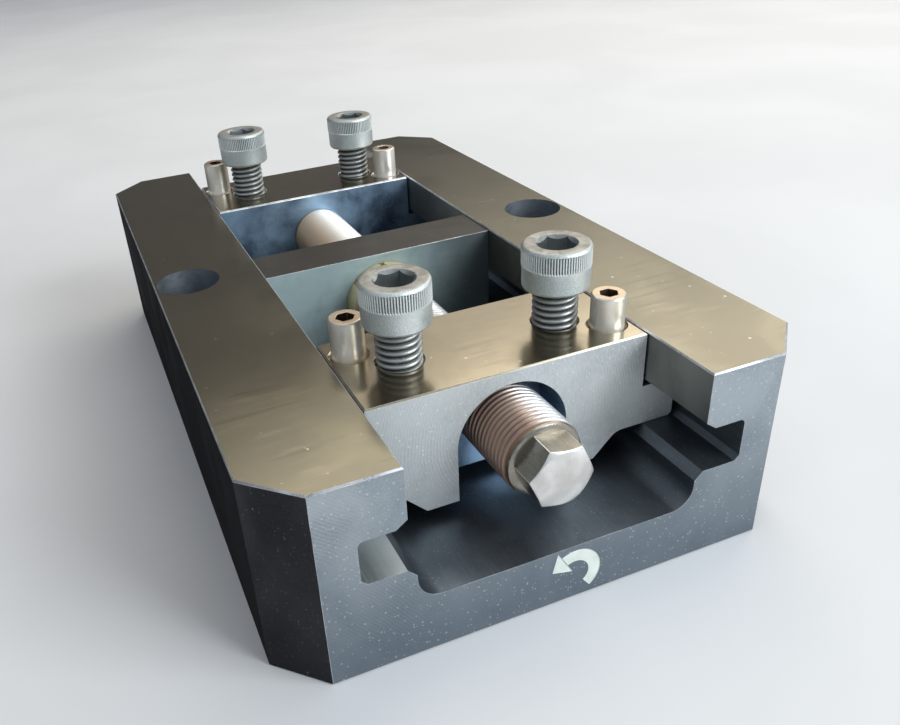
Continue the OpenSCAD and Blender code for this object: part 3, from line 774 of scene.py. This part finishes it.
def cut_turn_arrow(base):
    """A curved arrow, the sense that the drive turns, cut shallow into the front face."""
    centre_x, centre_z = 4.1, 8.5
    inner_r, outer_r = 4.1, 7.7
    tail, neck = math.radians(-52), math.radians(122)
    depth = 0.15
    clear = 0.5
    front = -BODY_HALF_Y - clear
    reach = clear + depth
    band = trace("arrow_band", [
        (centre_x + inner_r * math.cos(tail), front, centre_z + inner_r * math.sin(tail)),
        (centre_x + outer_r * math.cos(tail), front, centre_z + outer_r * math.sin(tail))])
    open_mesh(band)
    bpy.ops.mesh.spin(
        steps=40, angle=neck - tail, center=(centre_x * MM, front * MM, centre_z * MM), axis=(0, 1, 0))
    close_mesh()
    head = trace("arrow_head", [(-2.7, front, 10.9), (-1.2, front, 16.9), (3.4, front, 9.4)])
    open_mesh(head)
    bpy.ops.mesh.edge_face_add()
    close_mesh()
    for tool in (band, head):
        open_mesh(tool)
        bpy.ops.mesh.extrude_region_move(TRANSFORM_OT_translate={"value": (0, reach * MM, 0)})
        close_mesh()
        close_seams(tool)
    carve(band, head, "UNION")
    lay_finishes(band, [etched_mark])
    carve(base, band, "DIFFERENCE")


base = eased_copy(
    "base_body", "slotted_base",
    [oxide_side, bright_edge, ground_rail, milled_end, oxide_channel, slide_ledge, bored_wall, rail_wall],
    0.22, counterbore_land)
dress(base, base_rule, base_bright_edges)
cut_turn_arrow(base)
smooth(base)
hang(base, "base", "base_body")


def carrier_rule(side):
    """Slots of a carrier's faces. The outer end is the one away from the centre block."""
    outer_end, _, top, inside = range(4)

    def rule(place, normal):
        if normal.z > 0.3 and place.z > CARRIER_TOP - 1.3:
            return top
        if normal.y * side > 0.9 and abs(place.y) > CARRIER_Y + 15.0:
            return outer_end
        return inside

    return rule


for node, name, body, side in (
        ("front_carrier", "front_jaw_carrier", "front_jaw", -1),
        ("rear_carrier", "rear_jaw_carrier", "rear_jaw", 1)):
    carrier = eased_copy(node, name, [carrier_face, rubbed_edge_and_highlight, ground_carrier, carrier_dark], 0.2)
    dress(carrier, carrier_rule(side), lambda place: place.z > CARRIER_TOP - 0.6)
    smooth(carrier)
    hang(carrier, body, node)


def on_block_top(place):
    return place.z > 50.0


def block_rule(place, normal):
    """Slots of the centre block's faces."""
    face, _, top = range(3)
    return top if normal.z > 0.9 and on_block_top(place) else face


block = eased_copy("centre_block", "screw_bearing_block", [blued_block, rubbed_edge_and_highlight, blued_top], 0.5)
dress(block, block_rule, on_block_top)
smooth(block)
hang(block, "base", "centre_block")

nut = eased_copy("bearing_lock_nut", "slotted_lock_nut", [lock_brass, brass_edge], 0.15)
dress(nut, lambda place, normal: 0)
smooth(nut)
hang(nut, "screw", "bearing_lock_nut")


# Lead screw

def make_lead_screw():
    """A right-hand thread behind, its mirror image in front, the journal between them and the drive."""
    reach = SCREW_END - JOURNAL_BACK + 1.0
    thread_depth = 0.335 * SCREW_PITCH
    nose = 2.4
    spare = 0.7
    half = helix(
        "thread_half", SCREW_R, thread_depth, SCREW_PITCH, 0.28 * SCREW_PITCH, -spare, reach + spare, 72)
    sheath = lathe("thread_sheath", [
        (0, 0, 0),
        (SCREW_R + 0.5, 0, 0),
        (SCREW_R + 0.5, 0, reach - nose),
        (SCREW_R - 0.35, 0, reach - nose + 0.6),
        (SCREW_R - thread_depth, 0, reach - nose + 1.2),
        (SCREW_R - thread_depth - 0.1, 0, reach - 0.5),
        (SCREW_R - SCREW_CHAMFER, 0, reach),
        (0, 0, reach)], (0, 0, 1), 72)
    carve(half, sheath, "INTERSECT")
    rear = half
    front = twin(half, "front_half")
    take(front)
    bpy.ops.transform.mirror(constraint_axis=(False, False, True))
    bpy.ops.object.transform_apply(location=True, rotation=True, scale=True)
    close_seams(front)
    for piece in (rear, front):
        seat(piece, "X", -90)
    seat(rear, place=(0, SCREW_END - reach, 0))
    seat(front, place=(0, reach - SCREW_END, 0))
    middle = lathe("journal", [
        (0, JOURNAL_FRONT, 0),
        (SCREW_R, JOURNAL_FRONT, 0),
        (JOURNAL_R, JOURNAL_FRONT + 0.2, 0),
        (JOURNAL_R, JOURNAL_BACK, 0),
        (COLLAR_R - 0.3, JOURNAL_BACK, 0),
        (COLLAR_R, JOURNAL_BACK + 0.3, 0),
        (COLLAR_R, COLLAR_BACK - 0.3, 0),
        (COLLAR_R - 0.3, COLLAR_BACK, 0),
        (0, COLLAR_BACK, 0)], (0, 1, 0), 100)
    corner = HEX_FLATS / math.sqrt(3.0)
    bar_length = HEX_LENGTH + 4.0
    end = -SCREW_END - HEX_LENGTH
    drive = hex_bar(corner, bar_length)
    seat(drive, "Z", HEX_TURN - 90.0)
    seat(drive, "X", 90)
    seat(drive, place=(0, end + bar_length / 2, 0))
    crown = lathe("drive_crown", [
        (0, end, 0),
        (3.0, end + 0.06, 0),
        (5.5, end + 0.25, 0),
        (7.5, end + 0.62, 0),
        (corner + 0.6, end + 1.9, 0),
        (corner + 0.6, -SCREW_END + 6.0, 0),
        (0, -SCREW_END + 6.0, 0)], (0, 1, 0), 96)
    carve(drive, crown, "INTERSECT")
    close_seams(drive)
    lay_finishes(drive, [drive_steel, drive_edge, drive_face])
    open_mesh(drive, "EDGE")
    bpy.ops.mesh.dissolve_limited(angle_limit=FLAT)
    bpy.ops.mesh.select_all(action="DESELECT")
    bpy.ops.mesh.edges_select_sharp(sharpness=math.radians(24))
    bpy.ops.mesh.bevel(offset=0.32 * MM, segments=3, profile=0.5, material=EDGE_SLOT, clamp_overlap=True)
    close_mesh()

    def drive_slot(face):
        at_end = face.material_index != EDGE_SLOT and face.normal.y < -0.6
        return 2 if at_end else face.material_index

    def thread_slot(face):
        return 1 if abs(face.center.y) > (SCREW_END - nose + 1.0) * MM else 0

    paint(drive, drive_slot)
    lay_finishes(middle, [drive_steel])
    for piece, finish in ((rear, pale_painted_rear_thread), (front, lead_thread)):
        lay_finishes(piece, [finish, drive_steel])
        paint(piece, thread_slot)
    screw = middle
    for piece in (front, rear, drive):
        carve(screw, piece, "UNION")
    close_seams(screw)
    screw.name = "two_hand_lead_screw"
    screw.data.name = "two_hand_lead_screw"
    mark_hollows(screw, lambda place: (SCREW_R - math.hypot(place.x, place.z)) / thread_depth)
    seat(screw, place=(0, 0, AXIS_UP))
    smooth(screw, 40)
    hang(screw, "screw", "lead_screw")


make_lead_screw()


# Jaw screws

def make_jaw_screw():
    """One socket cap screw standing on its head's underside at the origin, thread down."""
    columns_per_ridge = 3
    columns = 80 * columns_per_ridge
    groove = 0.36
    knurl_low, knurl_high = 6.9, 11.75
    shank_depth = 0.56 * JAW_PITCH
    rooted = 1.0
    shank = helix("shank", JAW_SCREW_R, shank_depth, JAW_PITCH, 0.16 * JAW_PITCH, -JAW_LENGTH, rooted, 48)
    sheath = lathe("shank_sheath", [
        (0, 0, -JAW_LENGTH),
        (JAW_SCREW_R - 1.3, 0, -JAW_LENGTH),
        (JAW_SCREW_R + 0.3, 0, -JAW_LENGTH + 1.6),
        (JAW_SCREW_R + 0.3, 0, rooted),
        (0, 0, rooted)], (0, 0, 1), 50)
    carve(shank, sheath, "INTERSECT")
    head = lathe("head", [
        (0, 0, 0),
        (HEAD_R - 1.5, 0, 0),
        (HEAD_R - 0.60, 0, 0.30),
        (HEAD_R - 0.20, 0, 0.90),
        (HEAD_R - 0.14, 0, knurl_low - 0.4),
        (HEAD_R, 0, knurl_low),
        (HEAD_R, 0, knurl_low + 0.4),
        (HEAD_R, 0, knurl_high - 0.4),
        (HEAD_R, 0, knurl_high),
        (HEAD_R - 0.08, 0, HEAD_HEIGHT - 0.70),
        (HEAD_R - 0.30, 0, HEAD_HEIGHT - 0.32),
        (HEAD_R - 0.62, 0, HEAD_HEIGHT - 0.09),
        (HEAD_R - 1.00, 0, HEAD_HEIGHT),
        (0, 0, HEAD_HEIGHT)], (0, 0, 1), columns)
    step = FULL_TURN / columns

    def in_groove(vertex):
        level = vertex.co.z / MM
        if not knurl_low + 0.1 < level < knurl_high - 0.1:
            return False
        return round(math.atan2(vertex.co.y, vertex.co.x) / step) % columns_per_ridge == 1

    pick(head, "VERT", in_groove)
    inward = (HEAD_R - groove) / HEAD_R
    bpy.ops.transform.resize(value=(inward, inward, 1.0), center_override=(0, 0, 0))
    close_mesh()
    corner = SOCKET_FLATS / math.sqrt(3.0)
    bar_length = SOCKET_DEPTH + 1.0
    socket = hex_bar(corner, bar_length)
    seat(socket, place=(0, 0, HEAD_HEIGHT - SOCKET_DEPTH + bar_length / 2))
    pick(socket, "FACE", lambda face: face.normal.z < -0.9)
    bpy.ops.mesh.extrude_region_move(TRANSFORM_OT_translate={"value": (0, 0, -1.5 * MM)})
    bpy.ops.transform.resize(value=(0.06, 0.06, 1.0), center_override=(0, 0, 0))
    close_mesh()
    carve(head, socket, "DIFFERENCE")
    mouth_r = corner + 0.3
    mouth_depth = mouth_r - SOCKET_FLATS / 2
    mouth = lathe("mouth", [
        (0, 0, HEAD_HEIGHT - mouth_depth),
        (mouth_r - mouth_depth, 0, HEAD_HEIGHT - mouth_depth),
        (mouth_r - 0.12, 0, HEAD_HEIGHT - 0.12),
        (mouth_r + 0.14, 0, HEAD_HEIGHT),
        (mouth_r + 0.14, 0, HEAD_HEIGHT + 1.0),
        (0, 0, HEAD_HEIGHT + 1.0)], (0, 0, 1), 72)
    carve(head, mouth, "DIFFERENCE")
    screw = head
    carve(screw, shank, "UNION")
    close_seams(screw)

    def depth_at(place):
        reach = math.hypot(place.x, place.y)
        if place.z < 0.0:
            return (JAW_SCREW_R - reach) / shank_depth
        if knurl_low < place.z < knurl_high:
            return (HEAD_R - reach) / groove
        return 0.3

    def slot_of(face):
        outside, rim, inside, thread = range(4)
        place = face.center / MM
        if place.z < 0.0:
            return thread
        if face.normal.z > 0.9 and place.z > HEAD_HEIGHT - 0.1:
            return rim
        in_mouth = math.hypot(place.x, place.y) < mouth_r
        return inside if in_mouth and place.z > HEAD_HEIGHT - SOCKET_DEPTH - 2.0 else outside

    mark_hollows(screw, depth_at)
    lay_finishes(screw, [cap_screw_oxide, cap_screw_rim, cap_screw_socket, shank_thread])
    paint(screw, slot_of)
    smooth(screw, 28)
    return screw


pattern = make_jaw_screw()
for node, body, side_x, side_y, turn, stand in (
        ("front_left_jaw_screw", "front_jaw", -1, -1, 24.0, 11.0),
        ("front_right_jaw_screw", "front_jaw", 1, -1, 57.0, 10.6),
        ("rear_left_jaw_screw", "rear_jaw", -1, 1, 40.0, 13.0),
        ("rear_right_jaw_screw", "rear_jaw", 1, 1, 10.0, 12.2)):
    screw = twin(pattern, node.replace("jaw_screw", "cap_screw"))
    seat(screw, "Z", turn, (side_x * JAW_SCREW_X, side_y * CARRIER_Y, CARRIER_TOP + stand))
    hang(screw, body, node)
bpy.data.objects.remove(pattern)


# Dowels and the fixings inside the centre block

def pin_rule(node):
    """Slots of a pin's faces: its side, the chamfer round its top, the top itself and the socket."""
    side, chamfer, rim, socket = range(4)
    low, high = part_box(node)
    axis = (low + high) / (2 * MM)
    top = high.z / MM

    def rule(place, normal):
        if place.z > top - 0.5 and normal.z > 0.3:
            return rim if normal.z > 0.9 else chamfer
        inside = math.hypot(place.x - axis.x, place.y - axis.y) < PIN_SOCKET_R
        return socket if inside and place.z > top - PIN_SOCKET_DEPTH - 0.5 else side

    return rule


for node, body in (
        ("front_left_dowel", "front_jaw"),
        ("front_right_dowel", "front_jaw"),
        ("rear_left_dowel", "rear_jaw"),
        ("rear_right_dowel", "rear_jaw")):
    pin = eased_copy(node, node.replace("dowel", "jaw_pin"), [pin_steel, pin_edge, pin_rim, pin_socket], 0.12)
    dress(pin, pin_rule(node))
    smooth(pin)
    hang(pin, body, node)

for node, finish in (
        ("block_screws", hidden_oxide),
        ("block_dowels", pin_steel),
        ("screw_bush", bearing_bronze),
        ("front_thrust_washer", bearing_bronze),
        ("rear_thrust_washer", bearing_bronze),
        ("lock_nut_set_screw", hidden_oxide)):
    lay_finishes(frame["nodes"][node], [finish])


# Floor, light and camera

def lay_floor():
    bpy.ops.object.select_all(action="DESELECT")
    bpy.ops.mesh.primitive_plane_add(size=10.0)
    floor = bpy.context.object
    floor.name = "studio_floor"
    material, tree, shader, coords = start_finish("pale studio floor", 0.0)
    cloud = place_group(tree, MOTTLE, coords, Scale=6.0)
    tree.links.new(tint(tree, cloud, (0.71, 0.71, 0.715), (0.75, 0.75, 0.755)), shader.inputs["Base Color"])
    shader.inputs["Roughness"].default_value = 0.8
    floor.data.materials.append(material)


def softbox(name, place, lean, size, power, colour):
    """A rectangular lamp that faces the vise, turned by lean degrees in its own plane."""
    vise_middle = Vector((0.0, 0.0, 0.04))
    bpy.ops.object.light_add(type="AREA", location=place)
    lamp = bpy.context.object
    lamp.name = name
    facing = (vise_middle - Vector(place)).to_track_quat("-Z", "Y")
    lamp.rotation_euler = (facing.to_matrix() @ Matrix.Rotation(math.radians(lean), 3, "Z")).to_euler()
    lamp.data.shape = "RECTANGLE"
    lamp.data.size, lamp.data.size_y = size
    lamp.data.energy = power
    lamp.data.color = colour


def light_studio():
    """Two warm softboxes behind, a cool one in front, and a dome that is brightest in front and overhead."""
    softbox("warm_back_right", (0.775, 0.743, 1.047), 34.0, (1.87, 0.86), 11.0, (1.0, 0.94, 0.82))
    softbox("cool_front_right", (0.88, -1.07, 0.79), 0.0, (0.9, 0.9), 21.5, (0.90, 0.96, 1.0))
    softbox("low_back_right", (0.735, 1.145, 0.670), 18.0, (0.55, 0.28), 0.36, (1.0, 0.95, 0.85))
    world = bpy.data.worlds.new("studio")
    bpy.context.scene.world = world
    world.use_nodes = True
    tree = world.node_tree
    sky = tree.nodes["Background"]
    heading = tree.nodes.new("ShaderNodeTexCoord").outputs["Generated"]
    parts = tree.nodes.new("ShaderNodeSeparateXYZ")
    tree.links.new(heading, parts.inputs["Vector"])
    behind = spread(tree, parts.outputs["Y"], -0.5, 0.8)
    ring = tint(tree, behind, (0.44, 0.48, 0.53), (0.14, 0.137, 0.143))
    height = spread(tree, parts.outputs["Z"], 0.6, 1.0)
    tree.links.new(tint(tree, height, ring, (0.70, 0.73, 0.76)), sky.inputs["Color"])
    sky.inputs["Strength"].default_value = 1.0


def set_camera():
    """The photograph's camera. The focal length and the optical middle are in its pixels."""
    width, height = 900.0, 725.0
    focal = 843.85
    middle_x, middle_y = 386.9, 377.7
    distance = 273.2
    sensor = 36.0
    turn, rise, roll = math.radians(-19.530), math.radians(30.321), math.radians(-4.630)
    target = Vector((-13.58, -43.37, 28.95)) * MM
    back = Vector((math.sin(turn) * math.cos(rise), -math.cos(turn) * math.cos(rise), math.sin(rise)))
    right = Vector((0, 0, 1)).cross(back).normalized()
    up = back.cross(right)
    rolled_right = right * math.cos(roll) + up * math.sin(roll)
    rolled_up = up * math.cos(roll) - right * math.sin(roll)
    bpy.ops.object.camera_add(location=target + back * distance * MM)
    camera = bpy.context.object
    camera.rotation_euler = Matrix((rolled_right, rolled_up, back)).transposed().to_euler()
    camera.data.sensor_width = sensor
    camera.data.lens = focal / width * sensor
    camera.data.shift_x = (width / 2 - middle_x) / width
    camera.data.shift_y = (middle_y - height / 2) / width
    camera.data.clip_start = 0.01
    camera.data.clip_end = 50.0
    bpy.context.scene.camera = camera


lay_floor()
light_studio()
set_camera()
bpy.context.scene.view_settings.view_transform = "Standard"
